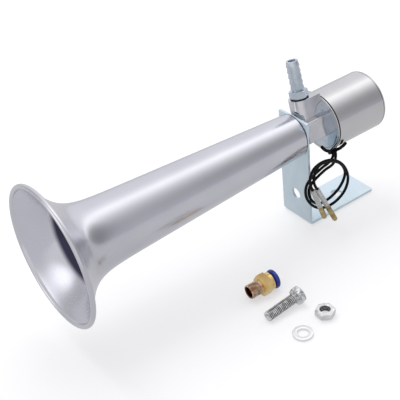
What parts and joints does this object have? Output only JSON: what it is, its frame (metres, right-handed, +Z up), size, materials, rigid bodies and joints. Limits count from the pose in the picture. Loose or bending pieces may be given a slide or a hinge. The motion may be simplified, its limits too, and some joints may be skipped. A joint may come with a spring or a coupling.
{
  "type": "trumpet air horn with solenoid valve",
  "caption": "Chromed trumpet air horn with a solenoid valve and hose barb on an L-shaped foot bracket, with a loose push-in fitting, bolt, nut and washer.",
  "frame": {"origin": "middle of the bracket foot's underside, on the surface that the horn stands on", "axes": "+X along the horn from the bell to the cup, +Y away from the side that the wires hang on, +Z up; the bell faces -X"},
  "size_m": [0.2718, 0.1557, 0.1242],
  "materials": {
    "polished_trumpet": "polished",
    "chromed_cup": "polished",
    "chromed_valve": "polished",
    "zinc_small": "satin",
    "zinc_bracket": "satin",
    "zinc_barb": "satin",
    "zinc_disc": "polished",
    "brass_nozzle": "satin",
    "aluminium_ring": "satin",
    "spring_steel": "satin",
    "soft_iron": "satin",
    "bobbin_plastic": "matte",
    "winding_wire": "satin",
    "rubber_seal": "matte",
    "wire_skin": "gloss",
    "tie_skin": "satin",
    "clear_sleeve": "gloss",
    "brass_terminal": "satin",
    "brass_fitting": "satin",
    "blue_plastic": "gloss",
    "zinc_fixings": "satin",
    "zinc_washer": "satin"
  },
  "bodies": {
    "horn": {"trumpet": "polished_trumpet", "trumpet_bush": "zinc_small", "trumpet_gasket": "rubber_seal", "bracket": "zinc_bracket", "valve_body": "chromed_valve", "barb_washer": "rubber_seal", "hose_barb": "zinc_barb", "front_disc": "zinc_disc", "rear_cup": "chromed_cup", "nozzle": "brass_nozzle", "chamber_ring": "aluminium_ring", "diaphragm": "spring_steel", "divider_plate": "soft_iron", "coil_bobbin": "bobbin_plastic", "coil_winding": "winding_wire", "yoke_tube": "soft_iron", "fixed_core": "soft_iron", "return_spring": "spring_steel", "wire_grommet": "rubber_seal", "wire_a": "wire_skin", "wire_b": "wire_skin", "twist_tie": "tie_skin", "sleeve_a": "clear_sleeve", "sleeve_b": "clear_sleeve", "terminal_a": "brass_terminal", "terminal_b": "brass_terminal"},
    "plunger": {"plunger": "soft_iron", "plunger_seal": "rubber_seal"},
    "fitting": {"fitting_body": "brass_fitting", "fitting_seal_ring": "rubber_seal", "fitting_collet": "spring_steel"},
    "release_ring": {"release_ring": "blue_plastic"},
    "bolt": {"bolt": "zinc_fixings"},
    "nut": {"nut": "zinc_fixings"},
    "washer": {"washer": "zinc_washer"}
  },
  "joints": [
    {"name": "plunger_pull", "type": "slide", "parent": "horn", "child": "plunger", "axis": [1, 0, 0], "range_m": [0, 0.0025], "stiffness_N_per_m": 400, "springref_m": -0.003, "deforming": ["return_spring"]},
    {"name": "fitting_lift", "type": "slide", "parent": "horn", "child": "fitting", "axis": [0, 0, 1], "range_m": [0, 0.04]},
    {"name": "release_ring_push", "type": "slide", "parent": "fitting", "child": "release_ring", "axis": [-0.9994, 0.0349, -0.0079], "range_m": [0, 0.001], "stiffness_N_per_m": 400, "springref_m": -0.0005},
    {"name": "bolt_lift", "type": "slide", "parent": "horn", "child": "bolt", "axis": [0, 0, 1], "range_m": [0, 0.04]},
    {"name": "nut_lift", "type": "slide", "parent": "horn", "child": "nut", "axis": [0, 0, 1], "range_m": [0, 0.04]},
    {"name": "washer_lift", "type": "slide", "parent": "horn", "child": "washer", "axis": [0, 0, 1], "range_m": [0, 0.04]}
  ]
}
